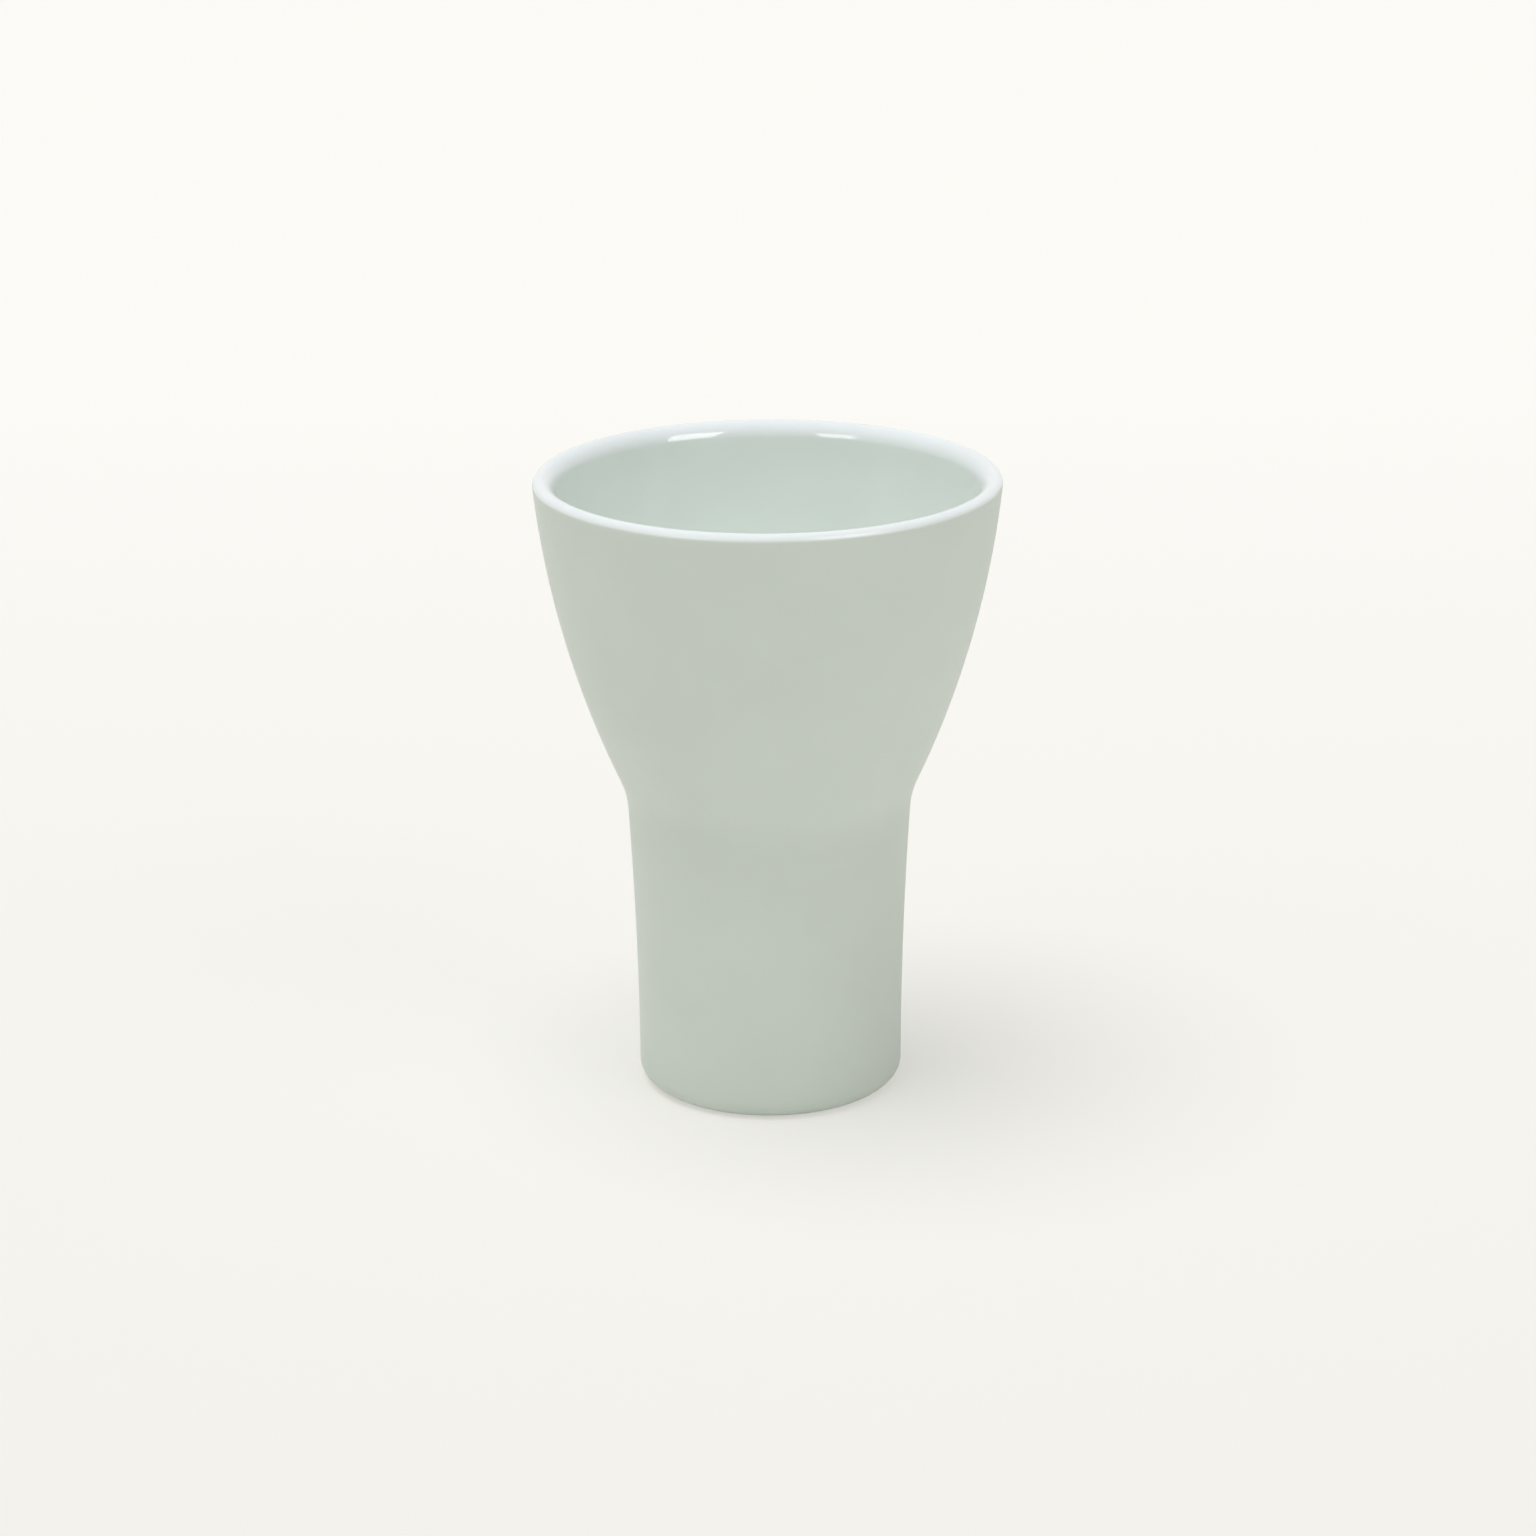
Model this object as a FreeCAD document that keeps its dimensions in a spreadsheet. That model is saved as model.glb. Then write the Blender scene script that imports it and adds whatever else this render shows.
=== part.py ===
"""A tall drinking beaker of cast porcelain, in millimetres.

The beaker is one fired piece. A slim stem stands on a rounded foot and leans outwards a little as it
rises, turns out at a soft neck, and opens into a bowl that curves back towards upright at the lip.
The wall keeps one thickness all the way up to the lip, which is rounded tightly outside and over its
crest, and rolls more widely down the inside. The underside is hollowed, so that the beaker stands on
a ring.
+Z is up, and the origin is the centre of the foot at the height of the table.
"""
import FreeCAD, Part

import math
import os
from FreeCAD import Vector
from Sketcher import Constraint

NODE = "beaker"

# Driving sizes. Each becomes a cell of the spreadsheet, under the same name.
SIZES = {
    "height": 120.5,  # table to the crest of the lip
    "rim_radius": 44.0,  # outside of the lip at its widest
    "foot_radius": 25.5,  # outside of the stem where it meets the foot's rounded edge
    "foot_edge": 3.5,  # rounding between the standing ring and the stem
    "stem_curve": 855.0,  # long curve of the stem, centred outside the beaker
    "neck_height": 55.3,  # table to where the stem ends and the neck begins
    "neck_bend": 17.6,  # bend between stem and bowl, centred outside the beaker
    "bowl_curve": 184.0,  # curve of the bowl, centred inside the beaker
    "wall": 4.0,  # thickness of the wall
    "lip_outside": 1.5,  # tight rounding of the lip, from the outside over the crest
    "lip_inside": 3.6,  # wide rounding from the crest down into the bowl
    "floor": 4.2,  # thickness of the floor above the hollow underside
    "floor_corner": 8.0,  # inside rounding between the floor and the wall
    "hollow_radius": 17.5,  # inner edge of the standing ring
    "hollow_depth": 1.8,  # rise of the underside above the table
    "hollow_corner": 0.8,  # rounding between the hollow's side and its ceiling
    "ring_edge": 0.3,  # rounding of the standing ring's inner edge
}

START, END, CENTRE = range(1, 4)  # the named points of a line or an arc in a sketch
AXIS = -2  # a sketch's own upright axis
ORIGIN = (-1, 1)  # a sketch's own origin
NEAR = 1e-4  # lengths closer than this are the same


def size_sheet(doc):
    """The spreadsheet that holds the driving sizes."""
    sheet = doc.addObject("Spreadsheet::Sheet", "sizes")
    for row, (name, value) in enumerate(SIZES.items(), start=1):
        sheet.set(f"A{row}", name)
        sheet.set(f"B{row}", str(value))
        sheet.setAlias(f"B{row}", name)
    doc.recompute()
    return sheet


def add_sketch(body, name):
    """An empty sketch on the upright plane through the body's axis."""
    sketch = body.newObject("Sketcher::SketchObject", name)
    upright = next(plane for plane in body.Origin.OriginFeatures if plane.Role == "XZ_Plane")
    sketch.AttachmentSupport = (upright, "")
    sketch.MapMode = "FlatFace"
    return sketch


def join_smoothly(sketch, *runs):
    """Joins each line or arc to the next with no corner.

    Each run is given with whether it is followed forwards, from its start to its end.
    """
    for (run, forwards), (following, on_forwards) in zip(runs, runs[1:]):
        leaving = END if forwards else START
        entering = START if on_forwards else END
        sketch.addConstraint(Constraint("Tangent", run, leaving, following, entering))


def drive(sketch, name, formula, kind, *where):
    """A named constraint of the sketch whose value follows the sheet."""
    value = sketch.evalExpression(formula)
    sketch.renameConstraint(sketch.addConstraint(Constraint(kind, *where, value)), name)
    sketch.setExpression(f"Constraints.{name}", formula)


def arc(centre, radius, start, end):
    """An arc that runs anticlockwise from one direction to another, in radians."""
    return Part.ArcOfCircle(Part.Circle(centre, Vector(0, 0, 1), radius), start, end)


def polar(centre, radius, angle):
    """The point at a distance and in a direction from a centre."""
    return centre + Vector(math.cos(angle), math.sin(angle), 0) * radius


def direction(centre, point):
    """The direction from a centre to a point, in radians."""
    return math.atan2(point.y - centre.y, point.x - centre.x)


def crossing(first, first_radius, second, second_radius):
    """Where two circles cross, on the left of the way from the first centre to the second."""
    way = second - first
    along = (way.Length**2 + first_radius**2 - second_radius**2) / (2 * way.Length)
    aside = math.sqrt(first_radius**2 - along**2)
    way.normalize()
    return first + way * along + Vector(-way.y, way.x, 0) * aside


def wall_section(body, sizes):
    """One half of the upright section through the floor and the wall, with the underside still flat."""
    sketch = add_sketch(body, "wall_section")

    # Centres of the outside's curves and of the lip, which follow one another without a corner.
    foot_centre = Vector(sizes.foot_radius - sizes.foot_edge, sizes.foot_edge, 0)
    stem_centre = Vector(sizes.foot_radius + sizes.stem_curve, sizes.foot_edge, 0)
    stem_end = math.pi - math.asin((sizes.neck_height - sizes.foot_edge) / sizes.stem_curve)
    neck_centre = polar(stem_centre, sizes.stem_curve - sizes.neck_bend, stem_end)
    lip_centre = Vector(
        sizes.rim_radius - sizes.lip_outside, sizes.height - sizes.lip_outside, 0
    )
    bowl_centre = crossing(
        neck_centre,
        sizes.neck_bend + sizes.bowl_curve,
        lip_centre,
        sizes.bowl_curve - sizes.lip_outside,
    )
    bowl_inside = sizes.bowl_curve - sizes.wall
    lip_inside_centre = crossing(
        lip_centre,
        sizes.lip_inside - sizes.lip_outside,
        bowl_centre,
        bowl_inside + sizes.lip_inside,
    )
    neck_end = direction(neck_centre, bowl_centre)
    bowl_start = direction(bowl_centre, neck_centre)
    bowl_end = direction(bowl_centre, lip_centre)
    lip_turn = direction(lip_inside_centre, lip_centre)
    inner_bowl_end = direction(bowl_centre, lip_inside_centre)

    # The inside's curves share those centres, down to the rounding at the floor.
    stem_inside = sizes.stem_curve + sizes.wall
    floor_level = sizes.hollow_depth + sizes.floor
    corner_level = floor_level + sizes.floor_corner
    corner_rise = math.asin((corner_level - sizes.foot_edge) / (stem_inside + sizes.floor_corner))
    corner_centre = polar(stem_centre, stem_inside + sizes.floor_corner, math.pi - corner_rise)
    ring_edge = Vector(foot_centre.x, 0, 0)
    floor_edge = Vector(corner_centre.x, floor_level, 0)
    floor_middle = Vector(0, floor_level, 0)

    ring = sketch.addGeometry(Part.LineSegment(Vector(), ring_edge))
    foot = sketch.addGeometry(arc(foot_centre, sizes.foot_edge, -math.pi / 2, 0))
    stem = sketch.addGeometry(arc(stem_centre, sizes.stem_curve, stem_end, math.pi))
    neck = sketch.addGeometry(arc(neck_centre, sizes.neck_bend, neck_end, stem_end))
    bowl = sketch.addGeometry(arc(bowl_centre, sizes.bowl_curve, bowl_start, bowl_end))
    outer_lip = sketch.addGeometry(arc(lip_centre, sizes.lip_outside, bowl_end, lip_turn))
    inner_lip = sketch.addGeometry(
        arc(lip_inside_centre, sizes.lip_inside, lip_turn, inner_bowl_end + math.pi)
    )
    inner_bowl = sketch.addGeometry(arc(bowl_centre, bowl_inside, bowl_start, inner_bowl_end))
    inner_neck = sketch.addGeometry(
        arc(neck_centre, sizes.neck_bend + sizes.wall, neck_end, stem_end)
    )
    inner_stem = sketch.addGeometry(
        arc(stem_centre, stem_inside, stem_end, math.pi - corner_rise)
    )
    corner = sketch.addGeometry(
        arc(corner_centre, sizes.floor_corner, -math.pi / 2, -corner_rise)
    )
    floor = sketch.addGeometry(Part.LineSegment(floor_edge, floor_middle))
    middle = sketch.addGeometry(Part.LineSegment(floor_middle, Vector()))

    # Up the outside, over the lip and down the inside.
    join_smoothly(
        sketch,
        (ring, True),
        (foot, True),
        (stem, False),
        (neck, False),
        (bowl, True),
        (outer_lip, True),
        (inner_lip, True),
        (inner_bowl, False),
        (inner_neck, True),
        (inner_stem, True),
        (corner, False),
        (floor, True),
    )
    sketch.addConstraint(Constraint("Coincident", ring, START, *ORIGIN))
    sketch.addConstraint(Constraint("Coincident", middle, END, ring, START))
    sketch.addConstraint(Constraint("Coincident", middle, START, floor, END))
    sketch.addConstraint(Constraint("PointOnObject", floor, END, AXIS))
    sketch.addConstraint(Constraint("Horizontal", ring))
    sketch.addConstraint(Constraint("Horizontal", floor))
    sketch.addConstraint(Constraint("Horizontal", foot, CENTRE, stem, CENTRE))
    for inner, outer in ((inner_bowl, bowl), (inner_neck, neck), (inner_stem, stem)):
        sketch.addConstraint(Constraint("Coincident", inner, CENTRE, outer, CENTRE))

    drive(sketch, "foot_edge", "sizes.foot_edge", "Radius", foot)
    drive(sketch, "foot_radius", "sizes.foot_radius", "DistanceX", *ORIGIN, foot, END)
    drive(sketch, "stem_curve", "sizes.stem_curve", "Radius", stem)
    drive(sketch, "neck_height", "sizes.neck_height", "DistanceY", *ORIGIN, stem, START)
    drive(sketch, "neck_bend", "sizes.neck_bend", "Radius", neck)
    drive(sketch, "bowl_curve", "sizes.bowl_curve", "Radius", bowl)
    drive(sketch, "wall", "sizes.bowl_curve - sizes.wall", "Radius", inner_bowl)
    drive(sketch, "lip_outside", "sizes.lip_outside", "Radius", outer_lip)
    drive(sketch, "lip_inside", "sizes.lip_inside", "Radius", inner_lip)
    lip = (*ORIGIN, outer_lip, CENTRE)
    drive(sketch, "rim", "sizes.rim_radius - sizes.lip_outside", "DistanceX", *lip)
    drive(sketch, "height", "sizes.height - sizes.lip_outside", "DistanceY", *lip)
    drive(sketch, "floor_corner", "sizes.floor_corner", "Radius", corner)
    drive(
        sketch, "floor", "sizes.hollow_depth + sizes.floor", "DistanceY", *ORIGIN, floor, END
    )
    return sketch


def hollow_section(body, sizes):
    """One half of the upright section through the hollow under the foot."""
    sketch = add_sketch(body, "hollow_section")
    corners = [
        Vector(),
        Vector(sizes.hollow_radius, 0, 0),
        Vector(sizes.hollow_radius, sizes.hollow_depth, 0),
        Vector(0, sizes.hollow_depth, 0),
    ]
    sides = [
        sketch.addGeometry(Part.LineSegment(start, end))
        for start, end in zip(corners, corners[1:] + corners[:1])
    ]
    for side, following in zip(sides, sides[1:] + sides[:1]):
        sketch.addConstraint(Constraint("Coincident", side, END, following, START))
    table, edge, ceiling, middle = sides
    sketch.addConstraint(Constraint("Coincident", table, START, *ORIGIN))
    sketch.addConstraint(Constraint("Horizontal", table))
    sketch.addConstraint(Constraint("Horizontal", ceiling))
    sketch.addConstraint(Constraint("Vertical", edge))
    sketch.addConstraint(Constraint("Vertical", middle))
    drive(sketch, "hollow_radius", "sizes.hollow_radius", "DistanceX", *ORIGIN, edge, START)
    drive(sketch, "hollow_depth", "sizes.hollow_depth", "DistanceY", *ORIGIN, ceiling, END)
    return sketch


def spin(body, kind, name, sketch):
    """A feature that turns a sketch once round the beaker's axis."""
    feature = body.newObject(kind, name)
    feature.Profile = sketch
    feature.ReferenceAxis = (sketch, ["V_Axis"])
    feature.Angle = 360
    body.Document.recompute()
    return feature


def round_ring(body, name, base, radius, level, formula):
    """Rounds the circular edge of a feature that has this radius and height."""
    for number, edge in enumerate(base.Shape.Edges, start=1):
        curve = edge.Curve
        if not isinstance(curve, Part.Circle):
            continue
        if abs(curve.Radius - radius) < NEAR and abs(curve.Center.z - level) < NEAR:
            break
    else:
        raise ValueError(f"{name}: no circular edge of radius {radius} at height {level}")
    fillet = body.newObject("PartDesign::Fillet", name)
    fillet.Base = (base, [f"Edge{number}"])
    fillet.setExpression("Radius", formula)
    body.Document.recompute()
    return fillet


def beaker(doc, sizes):
    """The whole beaker: the revolved wall and floor, with the underside hollowed."""
    body = doc.addObject("PartDesign::Body", NODE)
    body.Label = NODE
    blank = spin(body, "PartDesign::Revolution", "wall_and_floor", wall_section(body, sizes))
    hollow = spin(body, "PartDesign::Groove", "hollow", hollow_section(body, sizes))
    if hollow.Shape.Volume > blank.Shape.Volume - NEAR:
        raise ValueError("the hollow under the foot cuts nothing")
    ceiling = round_ring(
        body, "hollow_corner", hollow, sizes.hollow_radius, sizes.hollow_depth, "sizes.hollow_corner"
    )
    round_ring(body, "ring_edge", ceiling, sizes.hollow_radius, 0, "sizes.ring_edge")
    return body


def check(doc, bodies):
    """Stops where a feature has failed, a sketch is loose or a body has no sound solid."""
    for thing in doc.Objects:
        if {"Invalid", "Error"} & set(thing.State):
            raise ValueError(f"{thing.Name} failed: {thing.State}")
        if thing.TypeId == "Sketcher::SketchObject" and not thing.FullyConstrained:
            raise ValueError(f"{thing.Name} is not fully constrained")
    for body in bodies:
        if body.Shape.isNull() or not body.Shape.isValid() or len(body.Shape.Solids) != 1:
            raise ValueError(f"{body.Label} is not one sound solid")


def main():
    doc = FreeCAD.newDocument("beaker")
    sizes = size_sheet(doc)
    bodies = [beaker(doc, sizes)]
    doc.recompute()
    check(doc, bodies)
    os.makedirs("parts", exist_ok=True)
    for body in bodies:
        body.Shape.exportStep(f"parts/{body.Label}.step")
        print(f"{body.Label}: {body.Shape.Volume / 1000:.1f} cm3")


main()
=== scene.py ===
"""The looks of the porcelain beaker: its glazed and matt surfaces, on a pale studio floor.

All lengths are in metres, +Z is up, and the beaker stands on the floor at the origin.
"""
import cmath
import math

import bmesh
import bpy
from mathutils import Euler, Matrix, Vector


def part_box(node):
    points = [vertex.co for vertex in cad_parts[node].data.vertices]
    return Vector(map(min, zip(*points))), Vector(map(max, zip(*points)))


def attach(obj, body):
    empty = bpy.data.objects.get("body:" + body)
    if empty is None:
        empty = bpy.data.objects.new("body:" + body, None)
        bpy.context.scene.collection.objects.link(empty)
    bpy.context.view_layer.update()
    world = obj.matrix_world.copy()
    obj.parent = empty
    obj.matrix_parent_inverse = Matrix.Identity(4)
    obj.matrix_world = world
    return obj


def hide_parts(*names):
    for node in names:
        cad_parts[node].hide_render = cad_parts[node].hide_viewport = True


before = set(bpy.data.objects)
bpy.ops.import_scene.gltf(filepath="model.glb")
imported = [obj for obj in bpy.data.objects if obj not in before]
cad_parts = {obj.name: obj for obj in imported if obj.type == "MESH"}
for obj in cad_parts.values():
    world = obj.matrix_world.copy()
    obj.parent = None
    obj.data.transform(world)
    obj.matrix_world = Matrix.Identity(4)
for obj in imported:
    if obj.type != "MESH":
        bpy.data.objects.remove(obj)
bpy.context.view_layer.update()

MM = 0.001

# The beaker's section, as the solid has it. Its height and rim come from the frame.
FOOT_RADIUS = 25.5 * MM
FOOT_EDGE = 3.5 * MM
STEM_CURVE = 855.0 * MM
NECK_HEIGHT = 55.3 * MM
NECK_BEND = 17.6 * MM
BOWL_CURVE = 184.0 * MM
WALL = 4.0 * MM
LIP_OUTSIDE = 1.5 * MM
LIP_INSIDE = 3.6 * MM
FLOOR = 4.2 * MM
FLOOR_CORNER = 8.0 * MM
HOLLOW_RADIUS = 17.5 * MM
HOLLOW_DEPTH = 1.8 * MM
HOLLOW_CORNER = 0.8 * MM
RING_EDGE = 0.3 * MM

# How finely the surface is drawn.
SPOKES = 320
LONGEST_STEP = 1.5 * MM
WIDEST_TURN = math.radians(7)

# Where the glaze lies, along the wall from the crest of the lip.
GLAZE_LINE = 1.75 * MM  # down the outside, where the glaze was wiped off
GLAZE_FADE = 1.0 * MM
WHITE_LIP_END = 2.2 * MM  # how far the lip stays white down the inside: thin glaze, with painted top light on its rounding
WHITE_LIP_GONE = 5.0 * MM  # where the white has faded out and the glaze has its full colour

# Colours of the ware and how its surface is finished.
BISQUE = "#D7E0D8"
THICK_GLAZE = "#F1F9F4"
# The lip's white is partly the thin glaze and partly painted light: the top light its up-facing rounding
# catches.
THIN_GLAZE_AND_TOP_LIGHT = "#EDF3F6"
GLAZE_IOR = 1.5
MATT_ROUGHNESS = 0.62
GLAZE_ROUGHNESS = 0.08
SHEEN = 0.15  # fired clay is a little lighter where it is seen edge-on
SHEEN_ROUGHNESS = 0.4
CLOUD_SIZE = 18 * MM
CLOUD_DEPTH = 0.015  # share by which the colour goes up and down
GRAIN_SIZE = 0.35 * MM
TOOTH_DEPTH = 0.012 * MM
RIPPLE_SIZE = 14 * MM
RIPPLE_DEPTH = 0.05 * MM

# The studio.
TENT_STRENGTH = 0.35  # of the light that comes from all round
FLOOR_HALF = 12.0
# The paper's colour is painted light: darker at the front, lighter towards the back.
PAPER_FRONT = "#F2F1EC"
PAPER_BACK = "#FBFAF6"
PAPER_NEAR = -0.2  # metres from the beaker towards the back, where the front colour ends
PAPER_FAR = 0.55  # and where the back colour starts
PAPER_EVENED = 0.55  # share of the seen paper that is plain, whatever light falls on it
SUN_WIDTH = 40  # degrees
WINDOW_DISTANCE = 1.2

# Sockets of a colour Mix node, whose names repeat.
FACTOR, COLOUR_A, COLOUR_B, COLOUR_RESULT = 0, 6, 7, 2

# The camera, fitted to the outline of the beaker in the photograph.
CAMERA_BACK = 0.74179
CAMERA_HEIGHT = 0.31229
CAMERA_PITCH = 18.616  # degrees below level
CAMERA_YAW = -0.0153
CAMERA_ROLL = 0.3202
CAMERA_LENS = 95.79  # millimetres, as the frame is
CAMERA_FRAME = 36.0


def linear(hex_colour):
    """An sRGB hex colour as linear RGB with alpha."""
    channels = [int(hex_colour[i : i + 2], 16) / 255 for i in (1, 3, 5)]
    return (*((c / 12.92 if c <= 0.04045 else ((c + 0.055) / 1.055) ** 2.4) for c in channels), 1.0)


def node(tree, kind, links=None, **settings):
    """Adds a node. Links and settings name its sockets, or by attribute what isn't a socket."""
    made = tree.nodes.new(kind)
    for name, value in settings.items():
        setattr(made, name, value)
    for socket, value in (links or {}).items():
        target = made.inputs[socket]
        if isinstance(value, bpy.types.NodeSocket):
            tree.links.new(value, target)
        else:
            target.default_value = value
    return made


def new_material(name):
    material = bpy.data.materials.new(name)
    material.use_nodes = True
    material.node_tree.nodes.clear()
    return material, material.node_tree


def crossing(first, first_radius, second, second_radius):
    """Where two circles cross, on the left of the way from the first centre to the second."""
    way = second - first
    along = (abs(way) ** 2 + first_radius**2 - second_radius**2) / (2 * abs(way))
    aside = math.sqrt(first_radius**2 - along**2)
    return first + way / abs(way) * complex(along, aside)


def arc(centre, radius, start, end):
    """Points along an arc, from one direction in radians to another, without its first point."""
    turn = abs(end - start)
    steps = math.ceil(max(turn * radius / LONGEST_STEP, turn / WIDEST_TURN))
    return [
        centre + cmath.rect(radius, start + (end - start) * i / steps) for i in range(1, steps + 1)
    ]


def line(start, end):
    """Points along a straight run, without its first point."""
    steps = math.ceil(abs(end - start) / LONGEST_STEP)
    return [start + (end - start) * i / steps for i in range(1, steps + 1)]


def beaker_section():
    """The outline of the section, from the middle of the underside to the middle of the floor inside.

    Each point is a complex number: radius and height. Also gives the index of the lip's crest.
    """
    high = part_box("beaker")[1]
    foot = complex(FOOT_RADIUS - FOOT_EDGE, FOOT_EDGE)
    stem = complex(FOOT_RADIUS + STEM_CURVE, FOOT_EDGE)
    stem_end = math.pi - math.asin((NECK_HEIGHT - FOOT_EDGE) / STEM_CURVE)
    neck = stem + cmath.rect(STEM_CURVE - NECK_BEND, stem_end)
    lip = complex(high.x - LIP_OUTSIDE, high.z - LIP_OUTSIDE)
    bowl = crossing(neck, NECK_BEND + BOWL_CURVE, lip, BOWL_CURVE - LIP_OUTSIDE)
    bowl_inside = BOWL_CURVE - WALL
    inner_lip = crossing(lip, LIP_INSIDE - LIP_OUTSIDE, bowl, bowl_inside + LIP_INSIDE)
    neck_end = cmath.phase(bowl - neck)
    bowl_start = cmath.phase(neck - bowl)
    bowl_end = cmath.phase(lip - bowl)
    lip_turn = cmath.phase(lip - inner_lip)
    inner_bowl_end = cmath.phase(inner_lip - bowl)
    inside_reach = STEM_CURVE + WALL + FLOOR_CORNER
    floor_level = HOLLOW_DEPTH + FLOOR
    corner_rise = math.asin((floor_level + FLOOR_CORNER - FOOT_EDGE) / inside_reach)
    corner = stem + cmath.rect(inside_reach, math.pi - corner_rise)
    ceiling_edge = complex(HOLLOW_RADIUS - HOLLOW_CORNER, HOLLOW_DEPTH - HOLLOW_CORNER)
    ring_edge = complex(HOLLOW_RADIUS + RING_EDGE, RING_EDGE)

    below = [complex(0, HOLLOW_DEPTH)]
    below += line(below[-1], complex(ceiling_edge.real, HOLLOW_DEPTH))
    below += arc(ceiling_edge, HOLLOW_CORNER, math.pi / 2, 0)
    below += line(below[-1], complex(HOLLOW_RADIUS, RING_EDGE))
    below += arc(ring_edge, RING_EDGE, math.pi, math.pi * 1.5)
    below += line(below[-1], complex(foot.real, 0))
    outside = arc(foot, FOOT_EDGE, -math.pi / 2, 0)
    outside += arc(stem, STEM_CURVE, math.pi, stem_end)
    outside += arc(neck, NECK_BEND, stem_end, neck_end)
    outside += arc(bowl, BOWL_CURVE, bowl_start, bowl_end)
    outside += arc(lip, LIP_OUTSIDE, bowl_end, math.pi / 2)
    inside = arc(lip, LIP_OUTSIDE, math.pi / 2, lip_turn)
    inside += arc(inner_lip, LIP_INSIDE, lip_turn, inner_bowl_end + math.pi)
    inside += arc(bowl, bowl_inside, inner_bowl_end, bowl_start)
    inside += arc(neck, NECK_BEND + WALL, neck_end, stem_end)
    inside += arc(stem, STEM_CURVE + WALL, stem_end, math.pi - corner_rise)
    inside += arc(corner, FLOOR_CORNER, -corner_rise, -math.pi / 2)
    inside += line(inside[-1], complex(0, floor_level))
    return below + outside + inside, len(below) + len(outside) - 1


def smooth_step(value, start, end):
    """Rises gently from 0 at start to 1 at end."""
    share = min(max((value - start) / (end - start), 0.0), 1.0)
    return share * share * (3 - 2 * share)


def make_beaker():
    """The beaker turned from its section, with how glazed each point is, and how white: thin glaze and
    painted top light on the lip.
    """
    section, crest = beaker_section()
    way = [0.0]
    for before, after in zip(section, section[1:]):
        way.append(way[-1] + abs(after - before))
    from_crest = [w - way[crest] for w in way]

    mesh = bmesh.new()
    glazed = mesh.verts.layers.float.new("glazed")
    white_lip = mesh.verts.layers.float.new("thin_glaze_and_top_light")

    def add_point(index, spoke):
        radius, height = section[index].real, section[index].imag
        angle = 2 * math.pi * spoke / SPOKES
        vertex = mesh.verts.new((radius * math.cos(angle), radius * math.sin(angle), height))
        along = from_crest[index]
        cover = smooth_step(along, -GLAZE_LINE - GLAZE_FADE / 2, -GLAZE_LINE + GLAZE_FADE / 2)
        vertex[glazed] = cover
        # The white of the lip: thin glaze, plus painted top light on the rounding.
        vertex[white_lip] = cover * (1 - smooth_step(along, WHITE_LIP_END, WHITE_LIP_GONE))
        return vertex

    underside = add_point(0, 0)
    rings = [[add_point(i, s) for s in range(SPOKES)] for i in range(1, len(section) - 1)]
    floor = add_point(len(section) - 1, 0)
    for lower, upper in zip(rings, rings[1:]):
        for s in range(SPOKES):
            t = (s + 1) % SPOKES
            mesh.faces.new((lower[s], lower[t], upper[t], upper[s]))
    for s in range(SPOKES):
        t = (s + 1) % SPOKES
        mesh.faces.new((underside, rings[0][t], rings[0][s]))
        mesh.faces.new((floor, rings[-1][s], rings[-1][t]))
    for face in mesh.faces:
        face.smooth = True
    data = bpy.data.meshes.new("beaker_ware")
    mesh.to_mesh(data)
    mesh.free()
    beaker = bpy.data.objects.new("beaker_ware", data)
    bpy.context.scene.collection.objects.link(beaker)
    data.materials.append(celadon_porcelain())
    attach(beaker, "root")
    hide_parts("beaker")


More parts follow.
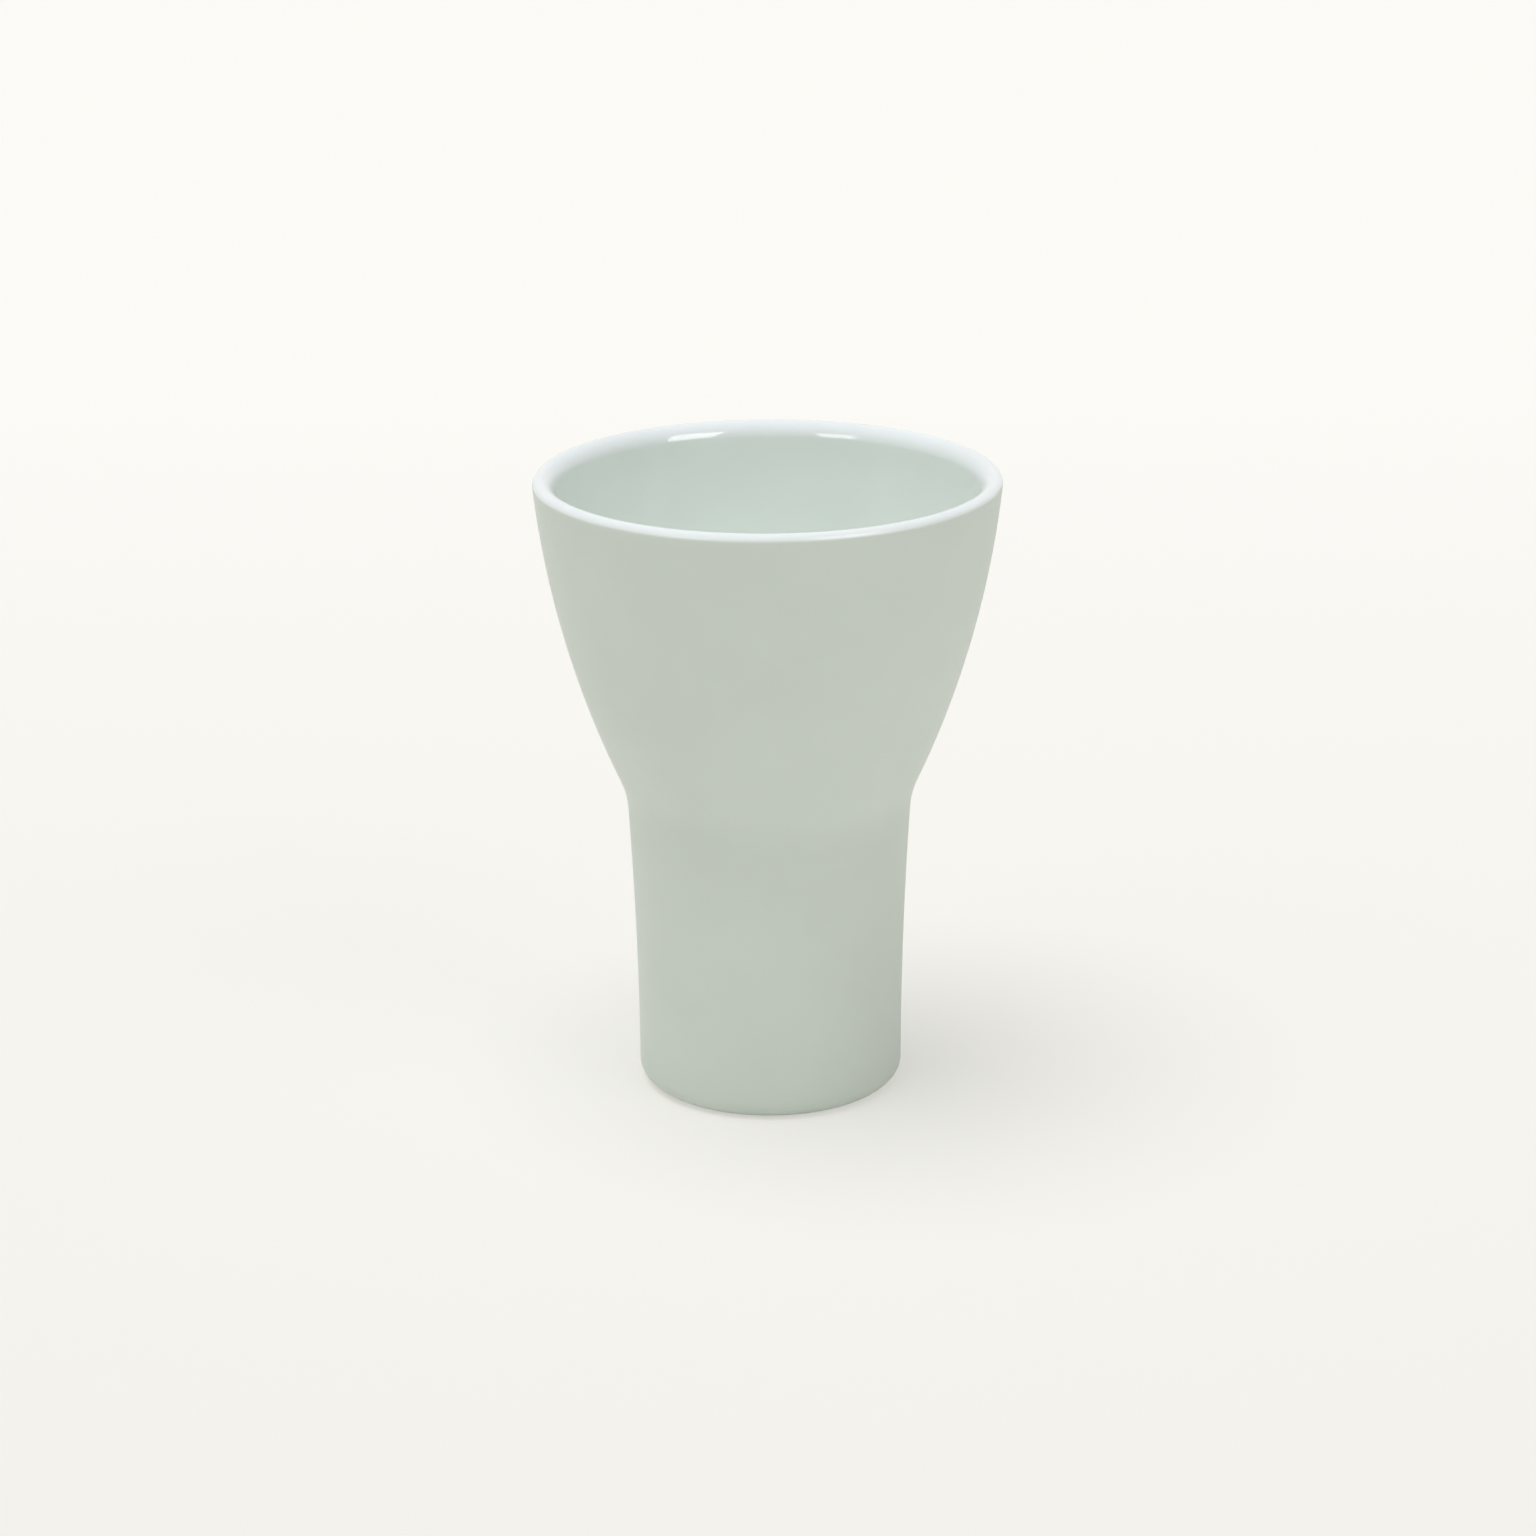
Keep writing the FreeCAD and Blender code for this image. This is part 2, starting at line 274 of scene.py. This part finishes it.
def celadon_porcelain():
    """Cast porcelain stained pale celadon in the body.

    The outside is fired bare and polished, so it is matt with a very fine tooth. The inside and the
    lip have a clear glaze: glossy, a little bluer where it lies thick, and white over the lip, partly
    where it runs thin and partly as painted light from above on its up-facing rounding.
    """
    material, tree = new_material("celadon_porcelain")
    place = node(tree, "ShaderNodeTexCoord").outputs["Object"]
    glazed = node(tree, "ShaderNodeAttribute", attribute_name="glazed").outputs["Fac"]
    white_lip = node(tree, "ShaderNodeAttribute", attribute_name="thin_glaze_and_top_light").outputs["Fac"]

    colours = {FACTOR: glazed, COLOUR_A: linear(BISQUE), COLOUR_B: linear(THICK_GLAZE)}
    ware = node(tree, "ShaderNodeMix", colours, data_type="RGBA").outputs[COLOUR_RESULT]
    # The lip is painted whiter: partly thin glaze, partly painted light from above on its up-facing
    # rounding.
    colours = {FACTOR: white_lip, COLOUR_A: ware, COLOUR_B: linear(THIN_GLAZE_AND_TOP_LIGHT)}
    ware = node(tree, "ShaderNodeMix", colours, data_type="RGBA").outputs[COLOUR_RESULT]

    # Clouding in the body, in patches of about 18 mm. It is faint, and keeps the wall from looking flat.
    clouds = node(tree, "ShaderNodeTexNoise", {"Vector": place, "Scale": 1 / CLOUD_SIZE, "Detail": 3.0})
    shade = node(
        tree,
        "ShaderNodeMapRange",
        {
            "Value": clouds.outputs["Fac"],
            "From Min": 0.3,
            "From Max": 0.7,
            "To Min": 1 - CLOUD_DEPTH,
            "To Max": 1 + CLOUD_DEPTH,
        },
    )
    ware = node(tree, "ShaderNodeVectorMath", {0: ware, "Scale": shade.outputs["Result"]}, operation="SCALE")

    # The tooth of polished bisque: grains of about 0.35 mm, drawn coarser than the real clay's.
    grain = node(tree, "ShaderNodeTexNoise", {"Vector": place, "Scale": 1 / GRAIN_SIZE, "Detail": 2.0})
    bare = node(tree, "ShaderNodeMath", {0: 1.0, 1: glazed}, operation="SUBTRACT")
    tooth = node(
        tree,
        "ShaderNodeBump",
        {"Height": grain.outputs["Fac"], "Distance": TOOTH_DEPTH, "Strength": bare.outputs["Value"]},
    )

    # Glaze settles in shallow ripples, about 14 mm long.
    ripples = node(tree, "ShaderNodeTexNoise", {"Vector": place, "Scale": 1 / RIPPLE_SIZE, "Detail": 1.0})
    surface = node(
        tree,
        "ShaderNodeBump",
        {
            "Height": ripples.outputs["Fac"],
            "Distance": RIPPLE_DEPTH,
            "Strength": glazed,
            "Normal": tooth.outputs["Normal"],
        },
    )
    gloss = node(
        tree, "ShaderNodeMapRange", {"Value": glazed, "To Min": MATT_ROUGHNESS, "To Max": GLAZE_ROUGHNESS}
    )
    porcelain = node(
        tree,
        "ShaderNodeBsdfPrincipled",
        {
            "Base Color": ware.outputs["Vector"],
            "Roughness": gloss.outputs["Result"],
            "Normal": surface.outputs["Normal"],
            "IOR": GLAZE_IOR,
            "Sheen Weight": SHEEN,
            "Sheen Roughness": SHEEN_ROUGHNESS,
        },
    )
    node(tree, "ShaderNodeOutputMaterial", {"Surface": porcelain.outputs["BSDF"]})
    return material


def seen_or_mirrored(tree):
    """1 where the camera looks straight at a thing or at its reflection, and 0 for its light."""
    path = node(tree, "ShaderNodeLightPath").outputs
    ways = {0: path["Is Camera Ray"], 1: path["Is Glossy Ray"]}
    return node(tree, "ShaderNodeMath", ways, operation="MAXIMUM").outputs["Value"]


def studio_paper():
    """Matt white paper, painted a little lighter towards the back, as it is in the photograph: painted light
    that falls off towards the front.
    """
    material, tree = new_material("studio_paper")
    place = node(tree, "ShaderNodeTexCoord").outputs["Object"]
    depth = node(tree, "ShaderNodeSeparateXYZ", {"Vector": place}).outputs["Y"]
    share = node(
        tree,
        "ShaderNodeMapRange",
        {"Value": depth, "From Min": PAPER_NEAR, "From Max": PAPER_FAR},
    ).outputs["Result"]
    # Painted light: the paper darkens towards the front.
    colours = {FACTOR: share, COLOUR_A: linear(PAPER_FRONT), COLOUR_B: linear(PAPER_BACK)}
    paper = node(tree, "ShaderNodeMix", colours, data_type="RGBA").outputs[COLOUR_RESULT]
    lit = node(tree, "ShaderNodeBsdfDiffuse", {"Color": paper}).outputs["BSDF"]
    flat = node(tree, "ShaderNodeEmission", {"Color": paper}).outputs["Emission"]
    shares = {0: seen_or_mirrored(tree), 1: PAPER_EVENED}
    evened = node(tree, "ShaderNodeMath", shares, operation="MULTIPLY").outputs["Value"]
    shown = node(tree, "ShaderNodeMixShader", {0: evened, 1: lit, 2: flat}).outputs["Shader"]
    node(tree, "ShaderNodeOutputMaterial", {"Surface": shown})
    material.cycles.emission_sampling = "NONE"
    return material


def make_floor():
    data = bpy.data.meshes.new("studio_floor")
    half = FLOOR_HALF
    corners = [(-half, -half, 0), (half, -half, 0), (half, half, 0), (-half, half, 0)]
    data.from_pydata(corners, [], [(0, 1, 2, 3)])
    floor = bpy.data.objects.new("studio_floor", data)
    bpy.context.scene.collection.objects.link(floor)
    data.materials.append(studio_paper())


def make_sky():
    """An even, soft light from all round, as in a paper tent. Seen or mirrored, it is plain paper."""
    world = bpy.data.worlds.new("studio")
    world.use_nodes = True
    tree = world.node_tree
    tree.nodes.clear()
    strength = node(
        tree, "ShaderNodeMapRange", {"Value": seen_or_mirrored(tree), "To Min": TENT_STRENGTH, "To Max": 1.0}
    ).outputs["Result"]
    tent = node(tree, "ShaderNodeBackground", {"Color": linear(PAPER_BACK), "Strength": strength})
    node(tree, "ShaderNodeOutputWorld", {"Surface": tent.outputs["Background"]})
    bpy.context.scene.world = world


def aim(thing, azimuth, elevation, distance, target):
    """Places something at a direction from a target, in degrees, and turns its -Z to the target.

    Azimuth 0 is in front of the beaker and turns to the right.
    """
    turn, rise = math.radians(azimuth), math.radians(elevation)
    out = Vector((math.sin(turn) * math.cos(rise), -math.cos(turn) * math.cos(rise), math.sin(rise)))
    thing.location = Vector(target) + out * distance
    thing.rotation_euler = (-out).to_track_quat("-Z", "Y").to_euler()


def add_sun(name, azimuth, elevation, strength):
    """A large far softbox, even over the whole floor. The glaze mirrors the tent in its place."""
    lamp = bpy.data.lights.new(name, "SUN")
    lamp.energy = strength * math.pi
    lamp.angle = math.radians(SUN_WIDTH)
    thing = bpy.data.objects.new(name, lamp)
    bpy.context.scene.collection.objects.link(thing)
    thing.visible_glossy = False
    aim(thing, azimuth, elevation, 1.0, (0, 0, 0))


def add_window(name, azimuth, elevation, size, radiance):
    """A window that is only mirrored, in the glaze: its light is in the suns. Radiance 1 looks white."""
    lamp = bpy.data.lights.new(name, "AREA")
    lamp.shape = "RECTANGLE"
    lamp.size, lamp.size_y = size
    lamp.energy = radiance * math.pi * lamp.size * lamp.size_y
    thing = bpy.data.objects.new(name, lamp)
    bpy.context.scene.collection.objects.link(thing)
    thing.visible_diffuse = False
    aim(thing, azimuth, elevation, WINDOW_DISTANCE, (0, 0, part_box("beaker")[1].z))


def make_camera():
    lens = bpy.data.cameras.new("camera")
    lens.sensor_width = CAMERA_FRAME
    lens.lens = CAMERA_LENS
    camera = bpy.data.objects.new("camera", lens)
    bpy.context.scene.collection.objects.link(camera)
    camera.location = (0, -CAMERA_BACK, CAMERA_HEIGHT)
    camera.rotation_euler = Euler((math.radians(90 - CAMERA_PITCH), 0, math.radians(-CAMERA_YAW)), "XYZ")
    camera.rotation_euler.rotate_axis("Z", math.radians(-CAMERA_ROLL))
    bpy.context.scene.camera = camera


bpy.context.scene.view_settings.view_transform = "Standard"
make_beaker()
make_floor()
make_sky()
add_sun("overhead", azimuth=-80, elevation=80, strength=0.58)
add_sun("key", azimuth=-50, elevation=50, strength=0.06)
add_sun("fill", azimuth=50, elevation=35, strength=0.10)
add_window("left_window", azimuth=-40.6, elevation=23, size=(0.445, 0.46), radiance=5.5)
add_window("right_window", azimuth=44.2, elevation=28, size=(0.575, 0.68), radiance=6.5)
make_camera()
